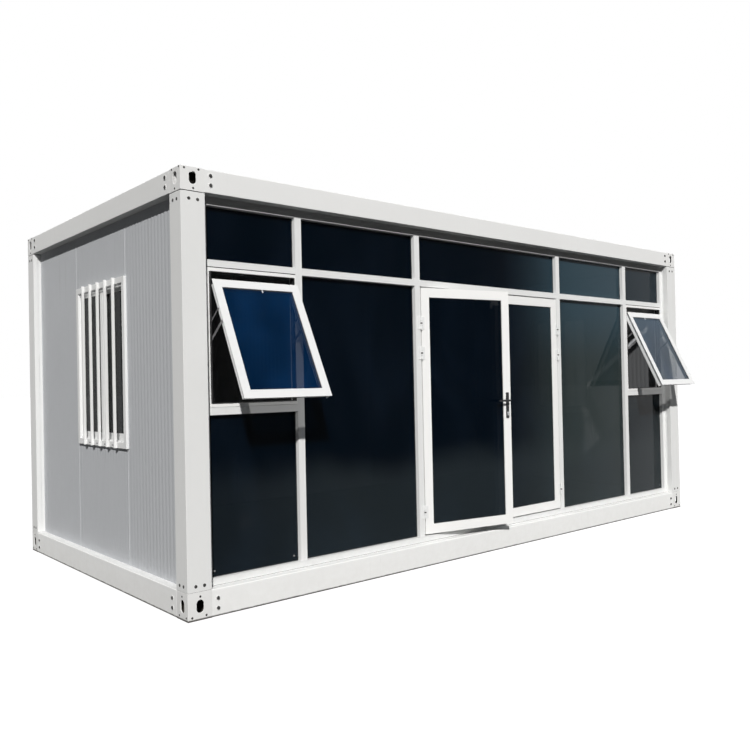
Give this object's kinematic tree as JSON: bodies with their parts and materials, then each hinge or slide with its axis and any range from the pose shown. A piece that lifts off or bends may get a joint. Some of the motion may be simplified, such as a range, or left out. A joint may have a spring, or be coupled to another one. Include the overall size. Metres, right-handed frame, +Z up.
{
  "type": "glass fronted flat pack container cabin",
  "caption": "Flat-pack container cabin: folded steel frame with slotted corner castings, glazed front with double doors and awning windows, and panel walls.",
  "frame": {"origin": "middle of the four slots in the undersides of the corner castings, on the ground", "axes": "+X along the glazed front, -Y out of the glazed front, +Z up"},
  "size_m": [5.95, 3.3232, 2.8],
  "materials": {
    "frame_steel": "satin white paint",
    "wall_panel": "matt coated steel skins on insulated core",
    "white_profile": "satin white powder coat on aluminium",
    "dark_glass": "dark tinted double glazing",
    "floor_board": "grey coated floor board",
    "stay_steel": "plain steel stays",
    "hinge_white": "satin white paint",
    "handle_black": "satin black"
  },
  "bodies": {
    "root": {"corner_posts": "frame_steel", "bottom_castings": "frame_steel", "top_castings": "frame_steel", "bottom_long_beams": "frame_steel", "bottom_end_beams": "frame_steel", "top_long_beams": "frame_steel", "top_end_beams": "frame_steel", "floor_joists": "frame_steel", "floor_deck": "floor_board", "roof_purlins": "frame_steel", "roof_sheet": "frame_steel", "ceiling_sheet": "wall_panel", "left_wall_side_panels": "wall_panel", "left_wall_window_panel": "wall_panel", "right_wall_side_panels": "wall_panel", "right_wall_window_panel": "wall_panel", "back_wall_panels": "wall_panel", "end_window_frames": "white_profile", "end_window_sashes": "white_profile", "end_window_panes": "dark_glass", "glazing_head": "white_profile", "glazing_sill": "white_profile", "glazing_jambs": "white_profile", "glazing_mullions": "white_profile", "glazing_transoms": "white_profile", "top_light_panes": "dark_glass", "fixed_panes": "dark_glass", "awning_frames": "white_profile", "awning_sashes": "white_profile", "awning_panes": "dark_glass", "awning_stays": "stay_steel", "door_stop": "white_profile", "frame_hinges": "hinge_white"},
    "left_door": {"left_door_leaf": "white_profile", "left_door_glass": "dark_glass", "left_door_hinges": "hinge_white", "handle_plates": "handle_black"},
    "right_door": {"right_door_leaf": "white_profile", "right_door_glass": "dark_glass", "right_door_hinges": "hinge_white"},
    "lever": {"door_lever": "handle_black"}
  },
  "joints": [
    {"name": "left_door_swing", "type": "hinge", "parent": "root", "child": "left_door", "pos_m": [-0.889, -1.4385, 1], "axis": [0, 0, -1], "range_deg": [-11.5, 78.5]},
    {"name": "right_door_swing", "type": "hinge", "parent": "root", "child": "right_door", "pos_m": [0.889, -1.4385, 1], "axis": [0, 0, 1], "range_deg": [0, 90]},
    {"name": "lever_turn", "type": "hinge", "parent": "left_door", "child": "lever", "pos_m": [-0.05282, -1.57699, 1.268], "axis": [-0.1994, -0.9799, 0], "range_deg": [0, 45], "stiffness_Nm_per_rad": 1, "springref_deg": -20.05}
  ]
}
